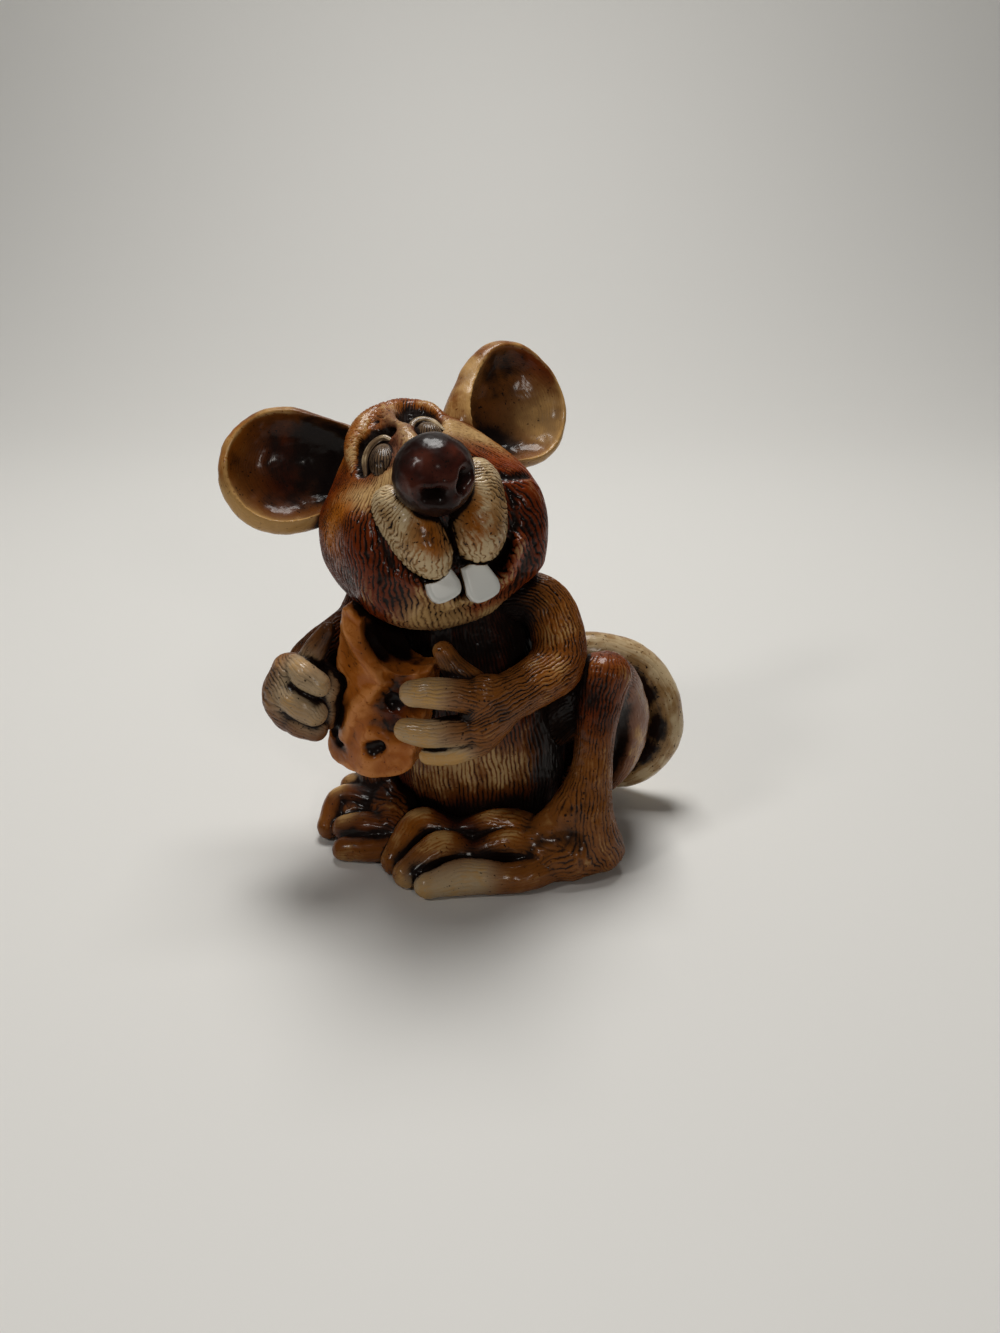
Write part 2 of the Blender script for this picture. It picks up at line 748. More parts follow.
def paint(obj, wash, tint, dabs=(), where=1.0):
    points = points_of(obj)
    kept = np.full(len(points), float(wash))
    colour = np.tile(np.asarray(tint, float), (len(points), 1))
    for line, width, dab_wash, dab_tint in dabs:
        share = bell(points, line, width) * where
        kept += (dab_wash - kept) * share
        colour += (np.asarray(dab_tint) - colour) * share[:, None]
    store(obj, "wash", kept)
    store(obj, "tint", np.column_stack([colour, np.ones(len(points))]), "FLOAT_COLOR")


pieces = {}


def keep(node, obj, slot):
    obj.name = node + "_clay"
    obj.data.name = obj.name
    pieces[node] = (obj, slot)
    print(f"{node}: {len(obj.data.polygons)} faces")


# %% [markdown]
# ## Torso
# A pear of clay that leans forward. A turned profile would stand upright, so it is one thick roll on a
# path that leans. It stands on its flat foot, so its first station keeps a flat end.

# %% Torso


def set_down(obj):
    """Makes the piece level with the floor where it would reach below it."""
    points = points_of(obj)
    points[:, 2] = np.maximum(points[:, 2], 0)
    move_points(obj, points)


TORSO = [
    [0, 0, 0, 15.6],
    [0, -0.3, 6, 17.6],
    [0, -1.4, 16, 20],
    [0, -3.2, 28, 19.4],
    [0, -6.2, 45, 16.2],
    [0, -9, 58, 11.5],
]
torso_path = smooth_path(TORSO)
torso = rolls("torso", [torso_path], flat_start=True)
knead(torso, voxel=0.4, soften=6)
dent(torso, size=6, depth=0.7)
limb_flow(torso, [torso_path])
draw_hair(torso, 1.0, Pitch=0.85, Length=3.0, Depth=0.26, Sway=1.8, Seed=1.0)
set_down(torso)
paint(torso, 0.74, MAHOGANY, [
    ([[5, -20, 19], [12, -17, 22], [17, -11, 21]], 7, 0.06, GOLD),
    ([[4, -22, 46], [14, -12, 50]], 12, 1.0, (0.05, 0.013, 0.005)),
    ([[0, -17, 5], [9, -15, 6], [18, -6, 6]], 7, 1.4, UMBER),
    ([[19, 0, 30], [20, -1, 18]], 5, 1.3, UMBER),
])
keep("torso", torso, "brown_glaze")

# %% [markdown]
# ## Head
# The skull is a ball that swells at the cheeks, jaw and snout, with a roll of clay for the brow. A few
# lines with a height and a width shape it, which is easier to correct than a sculpted mesh. It is made
# in its own frame, where it looks along -Y, and is then turned to the figure's left, tipped back and
# rolled to one side. Lines of two numbers lie in the plane of the face.

# %% The head's own frame
HEAD_RADII = np.array([21.2, 20.5, 21.6])
HEAD_PLACE = (-5, -12.3, 68.9)
HEAD_TURN = 53
HEAD_TILT = 28
HEAD_ROLL = 15
head_matrix = Matrix.Translation(Vector(HEAD_PLACE) * MM)
for axis, angle in (("Z", HEAD_TURN), ("X", -HEAD_TILT), ("Y", -HEAD_ROLL)):
    head_matrix = head_matrix @ Matrix.Rotation(math.radians(angle), 4, axis)


def on_face(x, z, proud=0.0):
    rest = 1 - (x / HEAD_RADII[0]) ** 2 - (z / HEAD_RADII[2]) ** 2
    return [x, -HEAD_RADII[1] * math.sqrt(max(rest, 0)) - proud, z]


print("middle of the face:", np.round(head_matrix @ (Vector(on_face(0, 0)) * MM) / MM, 1))

# %% Lines of the face
JAW_LINE = [on_face(-14, -13), on_face(-6, -19), on_face(4, -19.5), on_face(13, -14)]
HEAD_SWELLS = [
    ([on_face(-16, -5)], 1.6, 9),
    ([on_face(-13, 0), on_face(-13.4, -5), on_face(-12.4, -10), on_face(-9, -14.6)], 3.4, 4.6),
    ([on_face(13.8, -3), on_face(13.4, -8), on_face(11, -13)], 2.6, 4.2),
    ([on_face(16, -6)], 4.1, 9.5),
    (JAW_LINE, 3, 4.5),
    ([on_face(0, 1)], 6, 8),
    ([[-16, 0, 15]], -3.5, 8),
    ([[16, 0, 15]], -3.5, 8),
]
RIGHT_SOCKET = [(-10.4, 9.4), (-9.4, 12), (-8, 14.4), (-5.4, 15.8), (-3.2, 15.4)]
LEFT_SOCKET = [(1.4, 17.6), (3.2, 18.4), (5, 17.4), (6.2, 15.2)]
FACE_LINES = [
    (RIGHT_SOCKET, -2.2, 1.0),
    (LEFT_SOCKET, -3, 1.5),
    ([(-7, 9.4), (-5.6, 12.4)], -1.0, 2),
    ([(2.8, 13), (4.6, 13)], -1.2, 1.8),
    ([(-11.4, 1.6), (-12, -4), (-11.4, -9.5), (-8.8, -12.8), (-6, -14.8)], -0.6, 0.6),
    ([(8.5, 5.5), (10.5, 3), (12.2, 0.4), (13.4, -4), (12.8, -8.5), (10, -12.4)], -0.6, 0.6),
    ([(12.2, 0.4), (15, -0.8), (18.5, -1)], -1.0, 0.8),
    ([(-2.6, -15.6), (3, -16.2), (8, -14.4), (10, -12.4)], -3, 1.0),
    ([(-10.4, -11), (-7.6, -14.2), (-4.2, -16.6)], 2.6, 2.2),
    ([(-4.2, -17), (3.4, -18.6), (9, -16.4), (12, -12.2)], 3, 1.7),
]
print(f"face: {len(HEAD_SWELLS)} swells and {len(FACE_LINES)} lines")

# %% Brow and bridge
BRIDGE = on_face(-0.6, 14.7)
BROW_STATIONS = [
    (-11, 9, 1.4, -0.2),
    (-10, 13.6, 2.2, 0.9),
    (-7.8, 17, 2.6, 1.7),
    (-4.6, 19.4, 2.8, 2.2),
    (-0.4, 20.4, 2.6, 2.2),
    (3.6, 20.8, 2.4, 1.8),
    (6.8, 19, 2, 1),
    (8, 16.4, 1.4, 0),
]
BRIDGE_STATIONS = [
    (-1.2, 19, 2.4, 1.6),
    (-0.8, 15.4, 2.4, 1.6),
    (-0.6, 12.4, 2.8, 2.2),
    (-0.6, 9.5, 3.2, 3),
]
BROW_LINE = [(x, z) for x, z, girth, rise in BROW_STATIONS]
brow_rolls = [
    smooth_path([on_face(x, z, rise - girth) + [girth] for x, z, girth, rise in stations])
    for stations in (BROW_STATIONS, BRIDGE_STATIONS)
]
print("rows in the rolls of brow and bridge:", [len(path) for path in brow_rolls])

# %% Modelling the head
WIPED_HAIR = 0.55


def press(obj, swells):
    """Pulls clay out, or pushes it in, along lines."""
    points = points_of(obj)
    move_points(obj, points + normals_of(obj) * lift_of(points, swells))


head = swollen_ball("head", HEAD_RADII, HEAD_SWELLS, detail=7)
absorb(head, rolls("brow", brow_rolls))
knead(head, voxel=0.4, soften=34)
dent(head, size=6, depth=0.6)
press(head, FACE_LINES)
knead(head, voxel=0.34, soften=4)
star_flow(head, pole=(0, 0, 0), axis=BRIDGE, reach=21)
head_points = points_of(head)
brow = bell(head_points, [on_face(-7, 11), BRIDGE, on_face(4, 12)], 5)
lip = bell(head_points, [on_face(3, -18), on_face(10, -15)], 3)
haired = 1 - WIPED_HAIR * np.maximum(brow, lip)
draw_hair(head, haired, Pitch=0.84, Length=2.6, Depth=0.3, Sway=3.2, Seed=2.0)
print(f"hair on the head: {haired.min():.2f} to {haired.max():.2f}")

# %% Painting the head
paint(head, 0.72, RUSSET, [
    ([[-12, 4, 14], [12, 4, 15]], 9, 0.85, MAHOGANY),
    ([on_face(-17, -9), on_face(-10, -16)], 6, 0.66, MAHOGANY),
    ([on_face(-14.4, 3.6), on_face(-18.4, 1.2)], 4, 0.48, (0.52, 0.150, 0.006)),
    ([on_face(19, -4)], 8, 0.7, RUSSET),
    ([on_face(13, 5), on_face(17, 2)], 3.4, 0.55, VERMILION),
    ([on_face(9, 11.5), on_face(14, 9.5)], 4.4, 0.06, TAN),
    ([on_face(17, 8)], 4, 0.36, AMBER),
    ([on_face(14.5, -13.5)], 4, 0.26, GOLD),
    ([(-9.5, -19), (-2, -21.5), (5, -21.5)], 3.2, 0.12, TAN),
    ([(2, -20.4), (7, -19.6), (11, -15)], 1.9, 0.5, (0.26, 0.05, 0.012)),
    (BROW_LINE[1:-1], 3.2, 0.27, AMBER),
    ([(-1, 18.6), (-0.8, 14.6), (-0.6, 8)], 2.8, 0.46, ROSE),
    ([(-4.2, 10.6), (-3.6, 7)], 1.6, 0.46, ROSE),
    (RIGHT_SOCKET, 1.0, 1.2, UMBER),
    (LEFT_SOCKET, 1.5, 1.3, UMBER),
    ([(-12.4, 4.6), (-9.6, 3.6), (-7, 5.4)], 2.6, 0.12, TAN),
    ([(12.2, 0.4), (15, -0.8), (17.5, -1)], 0.7, 0.95, UMBER),
    ([(-2.6, -15.6), (3, -16.4), (8, -14.6)], 1.1, 1.4, UMBER),
])
place(head, head_matrix)
keep("head", head, "brown_glaze")

# %% [markdown]
# ## Nose and whisker pads
# The nose is a glossy ball with two nostrils pressed in. Cut holes would have sharp rims, so they are
# swells that go inwards. The pads are two fat lobes under it, wiped almost clean, with short hairs that
# run out from the nose.

# %% Nose


def matrix_at(x, y, z, turns=(0, 0, 0)):
    """Turned by degrees about X, then Y, then Z, and moved, in mm."""
    made = Matrix.Translation(Vector((x, y, z)) * MM)
    for axis, angle in (("Z", turns[2]), ("Y", turns[1]), ("X", turns[0])):
        made = made @ Matrix.Rotation(math.radians(angle), 4, axis)
    return made


def no_hair(obj):
    for name in ("hair", "count"):
        store(obj, name, np.zeros(len(obj.data.vertices)))
    store(obj, "lane", points_of(obj), "FLOAT_VECTOR")


NOSE_RADIUS = 7.3
NOSE_BROWN = (0.014, 0.005, 0.004)
NOSE_RED = (0.050, 0.011, 0.007)
NOSE_PLACE = on_face(-0.4, 2.3, 7.6)
LEFT_NOSTRIL = [[3.6, -5, -4.6], [4.8, -5, -2.8]]
nose = swollen_ball("nose", [NOSE_RADIUS] * 3, [
    ([[0.6, -4, -6.4]], 1.0, 2.0),
    ([[-3.6, -5.2, -4.4], [-1.6, -5.4, -4.8]], -3.4, 1.3),
    (LEFT_NOSTRIL, -3.2, 1.25),
    ([[-4.4, -5.2, -2.6], [-0.6, -6.4, -3.2]], 0.6, 1.5),
    ([[6, -3.8, -3.6]], 0.6, 1.3),
    ([[1.2, -6.6, -3]], 0.5, 1.5),
    ([[-5, -4.4, -4.4], [-2, -4.6, -6]], 0.5, 1.1),
])
dent(nose, size=2.8, depth=0.4)
no_hair(nose)
paint(nose, 0.62, NOSE_BROWN, [
    ([[-4, -5, 0], [3, -6, -1]], 3, 0.5, NOSE_RED),
    ([[-2, -6.6, 1.6]], 1.6, 0.46, (0.11, 0.026, 0.014)),
    ([[3.6, -6, 1.4]], 1.5, 0.46, (0.10, 0.022, 0.012)),
    ([[-5.6, -4.4, -1.4]], 1.6, 0.46, (0.09, 0.022, 0.012)),
    ([[-3.6, -5.2, -4.6], [-1.6, -5.4, -5]], 1.3, 1.3, BLACK_BROWN),
    (LEFT_NOSTRIL, 1.3, 1.3, BLACK_BROWN),
    ([[0, -3, 6]], 3.5, 0.66, BLACK_BROWN),
])
place(nose, head_matrix @ matrix_at(*NOSE_PLACE))
keep("nose", nose, "dark_glaze")

# %% Whisker pads
PADS = {"left": (1, 5.8, (6, 6.3, 8.6)), "right": (-1, 5, (5.2, 6.3, 8.6))}
PAD_WASH = {"left": 0.22, "right": 0.1}
PAD_DROP = 6
PAD_PROUD = 1.6
PAD_SPLAY = 10
FACE_SHIFT = -0.4
BARE_MIDDLE = 0.45
EDGE_FADE = 0.4
MIDDLE_HAIR = 0.15
for label, (side, spread, radii) in PADS.items():
    pad = swollen_ball("pad", radii, [([[side * 3, 1, radii[2]]], 3.2, 5)])
    spot = on_face(side * spread + FACE_SHIFT, -PAD_DROP, PAD_PROUD)
    place(pad, matrix_at(*spot, (0, side * PAD_SPLAY, 0)))
    knead(pad, voxel=0.22, soften=8)
    dent(pad, size=3.5, depth=0.5)
    star_flow(pad, pole=(FACE_SHIFT, -14, 3), axis=(0, -1, 0), reach=9)
    off_middle = (points_of(pad) - np.array(spot)) / np.array(radii)
    edge = np.clip((np.linalg.norm(off_middle[:, [0, 2]], axis=1) - BARE_MIDDLE) / EDGE_FADE, 0, 1)
    haired = MIDDLE_HAIR + (1 - MIDDLE_HAIR) * edge
    draw_hair(pad, haired, Pitch=0.6, Length=0.8, Depth=0.17, Sway=3.0, Seed=3.0 + side)
    paint(pad, PAD_WASH[label], TAN, [
        ([on_face(side * 3.4, -5, 8), on_face(side * 4.4, -9, 8)], 3.4, 0.4, AMBER),
        ([on_face(side * 9, -2, 3)], 3, 0.08, TAN),
        ([on_face(FACE_SHIFT, 0, 8)], 4.5, 0.75, UMBER),
    ])
    place(pad, head_matrix)
    keep("muzzle_" + label, pad, "cream_glaze")

# %% [markdown]
# ## Eyes
# Each eye is a narrow mound deep in its socket, with a roll of clay arched over it as a lid. A swell of
# the mound could stand for the lid, but a roll has an edge that throws a shade. Its places lie on the
# face, so that it follows the skull.

# %% Eyes and lids
EYES = {
    "left": {
        "mound": (3.6, 11.6),
        "radii": (2.5, 2.6, 3.2),
        "lean": -8,
        "lid": [(0.6, 13), (1.8, 14.9), (3.6, 15.3), (5.4, 14.3), (6.6, 12)],
    },
    "right": {
        "mound": (-6.1, 9.5),
        "radii": (2.7, 2.6, 4.4),
        "lean": 25,
        "lid": [(-10, 8), (-8.7, 11.4), (-6.6, 13.4), (-4.4, 14), (-3.2, 13)],
    },
}
EYE_TILT = -34
EYE_SINK = 1.2
LID_SINK = 0.5
EYE_CLAY = (0.135, 0.082, 0.043)
LID_GIRTHS = (0.5, 0.9, 1.0, 0.9, 0.5)
for seed, (label, form) in enumerate(EYES.items()):
    eye = ball("eye", form["radii"])
    spot = on_face(*form["mound"], -EYE_SINK)
    place(eye, matrix_at(*spot, (EYE_TILT, form["lean"], 0)))
    star_flow(eye, pole=spot, axis=(0.3, 0, 1), reach=3)
    draw_hair(eye, 1.0, Pitch=0.6, Length=2.0, Depth=0.06, Sway=0.6, Seed=5.0 + seed)
    paint(eye, 0.5, EYE_CLAY)
    place(eye, head_matrix)
    keep("eye_" + label, eye, "cream_glaze")
    lid_rows = zip(form["lid"], LID_GIRTHS)
    lid_path = smooth_path([on_face(x, z, -LID_SINK) + [girth] for (x, z), girth in lid_rows])
    lid = rolls("lid", [lid_path])
    knead(lid, voxel=0.14, soften=3)
    limb_flow(lid, [lid_path])
    draw_hair(lid, 0.4, Pitch=0.6, Length=5.0, Depth=0.04, Sway=0.2, Seed=7.0 + seed)
    paint(lid, 0.4, EYE_CLAY)
    place(lid, head_matrix)
    keep("eyelid_" + label, lid, "cream_glaze")

# %% [markdown]
# ## Teeth
# Two slabs of white glazed clay stand side by side in the mouth. Their CAD solids have the right outline,
# so a copy is only made finer and its edges rounded.

# %% Teeth
MERGE_GAP = 1e-6


def node_copy(node):
    """A copy of a CAD node with its doubled points merged."""
    body = bmesh.new()
    body.from_mesh(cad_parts[node].data)
    bmesh.ops.remove_doubles(body, verts=body.verts, dist=MERGE_GAP)
    obj = add_object(node + "_clay", bpy.data.meshes.new(node + "_clay"))
    body.to_mesh(obj.data)
    body.free()
    return obj


for label in ("left", "right"):
    tooth = node_copy("tooth_" + label)
    knead(tooth, voxel=0.16, soften=8)
    no_hair(tooth)
    paint(tooth, -0.25, TAN)
    keep("tooth_" + label, tooth, "white_glaze")

# %% [markdown]
# ## Ears
# An ear is a lump that was hollowed with the thumb: a flat ball drawn out to a stem where it meets the
# head, with a smaller one cut out of its front. A bent sheet would have one thickness, and this has a
# thick back and a thin rim. Its dabs are for the inside, and the back is left plain.

# %% Two ears that differ
EAR_STEM_DROP = 4
EAR_OUT = 24.6
EAR_BACK = 3
EAR_SHIFT = 1.8
STEM_WIDTH = 8
INSIDE_HAIR = 0.25
INSIDE_COAT = [([[0, 0, 0]], 100, 0.3, GOLD)]
EARS = {
    "left": {
        "side": 1,
        "outside": (11.2, 5.4, 13.2),
        "inside": (9, 6.3, 11.8),
        "hollow": (1.4, -3.8, -0.4),
        "stem": 7,
        "rise": 17.3,
        "turn": 12,
    },
    "right": {
        "side": -1,
        "outside": (12.6, 5.4, 12.6),
        "inside": (10.8, 6.3, 10.8),
        "hollow": (0.5, -3.5, 0.4),
        "stem": 8,
        "rise": 18.2,
        "turn": -6,
    },
}
EAR_DABS = {
    "left": [
        ([[-6, 2, 6], [0, 2.4, 8]], 5.4, 0.78, GOLD),
        ([[6, 0, 10], [10, -1, 4]], 3, 0.6, RUSSET),
        ([[-9, 1, -7], [-5, 1, -6]], 4.5, 1.3, UMBER),
        ([[5, 1, -4], [7, 0, -8]], 6, 0.08, TAN),
        ([[-8, -3, 8], [-9.4, -3, 3], [-10.4, -3, -3]], 2.8, 0.1, TAN),
    ],
    "right": [
        ([[2, 2, 4], [0, 2.4, -2]], 7, 0.74, MAHOGANY),
        ([[9, 2, 2], [10, 2, -5]], 6, 1.3, UMBER),
        ([[-11, -2, 5], [-6, -3, 10]], 2.6, 0.4, AMBER),
        ([[-12, -2, -2], [-8, -3, -9], [0, -3, -12]], 2.6, 0.06, TAN),
    ],
}
print("dabs inside the ears:", {label: len(dabs) for label, dabs in EAR_DABS.items()})

# %% Modelling the ears


def cut_out(obj, tool, use_self=False):
    """Cuts the tool's form out of a piece and removes the tool."""
    cutter = obj.modifiers.new("cut", "BOOLEAN")
    cutter.operation = "DIFFERENCE"
    cutter.use_self = use_self
    cutter.object = tool
    plain(obj)
    bpy.data.objects.remove(tool)


for label, shape in EARS.items():
    side = shape["side"]
    stem = [[-side * shape["outside"][0], 0, -EAR_STEM_DROP]]
    drawn_out = [(stem, shape["stem"], STEM_WIDTH)]
    ear = swollen_ball("ear", shape["outside"], drawn_out)
    scoop = swollen_ball("scoop", shape["inside"], drawn_out)
    place(scoop, matrix_at(*shape["hollow"]))
    cut_out(ear, scoop)
    knead(ear, voxel=0.28, soften=26)
    dent(ear, size=6, depth=0.7)
    star_flow(ear, pole=(-side * 6, 0, -40), axis=(0, 0, 1), reach=40)
    behind = soft_step(normals_of(ear)[:, 1], middle=0.2, width=0.08)
    haired = INSIDE_HAIR + (1 - INSIDE_HAIR) * behind
    draw_hair(ear, haired, Pitch=1.0, Length=3.0, Depth=0.12, Sway=4.0, Seed=9.0 + side)
    paint(ear, 0.66, RUSSET, INSIDE_COAT + EAR_DABS[label], where=1 - behind)
    spot = (side * EAR_OUT + EAR_SHIFT, EAR_BACK, shape["rise"])
    place(ear, head_matrix @ matrix_at(*spot, (0, 0, shape["turn"])))
    keep("ear_" + label, ear, "tan_glaze")

# %% [markdown]
# ## Cheese
# The wedge is held before the chest. Its CAD solid has the cut faces and the main holes, so a copy of it
# is used. More holes are cut, its edges are rubbed round, as wet clay is, and a ridge is pulled out.

# %% The cheese's own frame
CHEESE_PLACE = (0, -37, 40)
CHEESE_TURN = 25
CHEESE_SHIFT = 3
HALF_CHEESE = 11.5
cheese_matrix = matrix_at(*CHEESE_PLACE, (0, 0, CHEESE_TURN))


def by_cheese(x, y, z, radius):
    spot = (cheese_matrix @ (Vector((CHEESE_SHIFT + x, y, z)) * MM)) / MM
    return [spot.x, spot.y, spot.z, radius]


def cheese_line(*spots):
    """A line of places that are given in the cheese's own frame."""
    return [by_cheese(*spot, 0)[:3] for spot in spots]


print("front of the cheese:", np.round(cheese_line((0, 0, 0))[0], 1))

# %% Cutting the cheese
CHEESE_HOLES = [
    (3, 0.2, -2.2, 1.5),
    (5, 1.2, -1.2, 2),
    (-7.2, 1.8, 1.8, 2.2),
    (-8.2, 3.4, -0.6, 1.8),
    (1.2, 1.2, -10.6, 1.5),
    (-8.4, 2.4, -11.6, 1.5),
    (1, 4, 10.4, 2.4),
]
RIDGE = cheese_line((-3.7, 1, 13.7), (2.2, 1.2, 3.3), (-2.5, 0.5, -1.7), (-6.5, 1.6, -10))


def carve(obj, hollows):
    """Cuts balls out of a piece: each has a place and a radius, in mm."""
    tool = add_object("tool", bpy.data.meshes.new("tool"))
    for x, y, z, radius in hollows:
        absorb(tool, place(ball("scoop", [radius] * 3, detail=5), matrix_at(x, y, z)))
    cut_out(obj, tool, use_self=True)


cheese = node_copy("cheese")
knead(cheese, voxel=0.3, soften=4)
carve(cheese, [by_cheese(*hole) for hole in CHEESE_HOLES])
knead(cheese, voxel=0.3, soften=7)
dent(cheese, size=4, depth=0.6)
press(cheese, [
    (RIDGE, 1.3, 1.5),
    (cheese_line((6, 2, 4.4), (3.4, 2, 1)), -1.2, 2.2),
    (cheese_line((1, 1, -5.4), (4, 1.5, -7)), -0.9, 2),
])
star_flow(cheese, pole=cheese_line((-20, -10, 30))[0], axis=(1, 0, -1), reach=25)
draw_hair(cheese, 0.35, Pitch=2.4, Length=3.0, Depth=0.1, Sway=7.0, Seed=16.0)
print(f"holes cut: {len(CHEESE_HOLES)}")

# %% Painting the cheese
paint(cheese, 0.4, ORANGE, [
    (RIDGE, 2, 0.26, ORANGE),
    (cheese_line((-0.5, 4, 11), (1.4, 7, 8.4), (2, 11, 7.4)), 3.6, 1.3, UMBER),
    (cheese_line((-7.4, 2.4, 1.8), (-8.2, 4, -0.6)), 2.2, 1.1, UMBER),
    (cheese_line((3, 1, -2.2), (5.4, 2, -1)), 2, 1.1, UMBER),
    (cheese_line((4, 2, -4.5), (6, 2, 2)), 2.6, 0.75, MAHOGANY),
    (cheese_line((0.2, 2.4, -11.6), (1.2, 2.4, -10.6)), 1.7, 1.3, UMBER),
    (cheese_line((-8.6, 3, -12)), 1.8, 1.2, UMBER),
])
keep("cheese", cheese, "orange_glaze")

# %% [markdown]
# ## Arms
# An arm is one long roll from shoulder to wrist, with short rolls for the palm and one for each finger.
# The palm is joined first, with a fillet: its rolls are swollen, joined and shrunk again. The fingers are
# added after that, so that the slots between them stay open. They close on the two sides of the cheese,
# so their stations say how far out from its side they lie, and where in its frame.

# %% Thick rolls and bare skin


def filleted(name, paths, fillet, voxel):
    """Thick rolls that are swollen, joined and shrunk again, which leaves a fillet where they meet."""
    limb = rolls(name, paths, grow=fillet)
    knead(limb, voxel, soften=10)
    move_points(limb, points_of(limb) - fillet * normals_of(limb))
    return limb


def bareness(obj, lines):
    """How free of hair each point is: each line has its places, a reach and a share."""
    points = points_of(obj)
    bare = np.zeros(len(points))
    for line, reach, share in lines:
        bare = np.maximum(bare, bell(points, line, reach, share, power=4))
    return bare


# %% Modelling an arm
ARM = 5.2
FINGER = 3.0
TIP_ROWS = 12
ROOT_ROWS = 4
PALM_FILLET = 1.8
BARE_HAND = 0.9
FINGER_REACH = 3.8
PALM_REACH = 6
TIP_REACH = 3.6


def beside_cheese(side, stations):
    return [by_cheese(side * (HALF_CHEESE + out), y, z, radius) for out, y, z, radius in stations]


def model_arm(node, palm, fingers, smooth_palm, tip_washes, seed, dabs, slots):
    palm_paths = [smooth_path(stations) for stations in palm.values()]
    finger_paths = [smooth_path(stations) for stations in fingers.values()]
    arm = filleted(node, palm_paths, PALM_FILLET, voxel=0.34)
    absorb(arm, rolls("fingers", finger_paths))
    knead(arm, voxel=0.22, soften=7)
    dent(arm, size=4.5, depth=0.5)
    limb_flow(arm, palm_paths[:1] + finger_paths)
    bare_lines = [(path[ROOT_ROWS:, :3], FINGER_REACH, 1.0) for path in finger_paths]
    bare_lines += [(path[ROOT_ROWS:, :3], PALM_REACH, smooth_palm) for path in palm_paths[1:]]
    haired = 1 - BARE_HAND * bareness(arm, bare_lines)
    draw_hair(arm, haired, Pitch=0.75, Length=4.0, Depth=0.32, Sway=2.8, Seed=seed)
    tip_rows = zip(finger_paths, tip_washes)
    tips = [(path[-TIP_ROWS:, :3], TIP_REACH, wash, CREAM) for path, wash in tip_rows]
    paint(arm, 0.6, GOLD, dabs + tips + slots)
    keep(node, arm, "tan_glaze")


def places(stations, *picks):
    return [stations[pick][:3] for pick in picks]


# %% Rolls of the left arm
left_palm = {
    "arm": [
        [7, -6, 53.4, ARM], [16.8, -2.5, 54.6, ARM], [20.8, -2, 50.4, ARM + 0.2],
        [23.4, -4.4, 43.6, ARM + 0.5], [23.4, -13.6, 41.4, ARM - 0.3],
        *beside_cheese(1, [[13.5, 6, 0.6, ARM - 0.3], [11, 3.6, -0.6, ARM - 0.2]]),
    ],
    "first knuckle": beside_cheese(1, [
        [13, 5.2, 1, ARM - 0.4], [10, 2, 2.8, ARM - 1], [7.4, 0.8, 3.2, FINGER - 0.2],
    ]),
    "second knuckle": beside_cheese(1, [
        [13, 5.2, 0, ARM - 0.4], [10, 1.6, -3.2, ARM - 1], [7.4, 0.6, -3.8, FINGER - 0.3],
    ]),
    "third knuckle": beside_cheese(1, [
        [12, 4, -2.4, ARM - 0.8], [9.6, 1.8, -6.6, ARM - 2], [7.6, 1.1, -7.6, FINGER - 0.8],
    ]),
}
left_fingers = {
    "first": beside_cheese(1, [
        [9, 1.2, 3, FINGER + 0.2], [3.6, -0.8, 3.7, FINGER + 0.1],
        [1, -1.2, 3.7, FINGER], [-2, -1, 3.1, FINGER - 0.4],
    ]),
    "second": beside_cheese(1, [
        [9, 1, -3.6, FINGER + 0.1], [3.4, -0.8, -4.4, FINGER - 0.1],
        [0.4, -1.2, -4.8, FINGER - 0.2], [-3.6, -1, -4.8, FINGER - 0.6],
    ]),
    "third": beside_cheese(1, [
        [9, 1.4, -7.2, FINGER - 0.4], [4.4, -0.2, -9.2, FINGER - 0.8], [0.6, -0.4, -10, FINGER - 1.1],
    ]),
    "thumb": beside_cheese(1, [
        [7.5, 5, 3.4, FINGER + 0.4], [4.4, 4.6, 6.6, FINGER - 0.4], [2.4, 4.4, 9.8, FINGER - 0.9],
    ]),
}
print("left arm:", ", ".join(left_palm), "and", len(left_fingers), "fingers")

# %% Left arm
model_arm("arm_left", left_palm, left_fingers, 0.5, (0.12, 0.08, 0.12), 11.0, [
    ([[23.4, -2, 42]], 7, 0.56, RUSSET),
    ([[24, -7, 52]], 4, 0.3, AMBER),
    ([[27, -11, 45]], 4, 0.3, AMBER),
    (places(left_fingers["thumb"], 1, 2), 3, 0.8, GOLD),
    ([[6, -9, 52], [14, -8.5, 52.5], [17, -8, 53.5]], 3.4, 1.3, UMBER),
], [
    (cheese_line((19.5, 0.6, -0.4), (12.5, 0, -0.5)), 1.4, 1.4, UMBER),
    (cheese_line((19.1, 0, -6.8), (13.5, -1, -7.5)), 0.9, 1.3, UMBER),
])

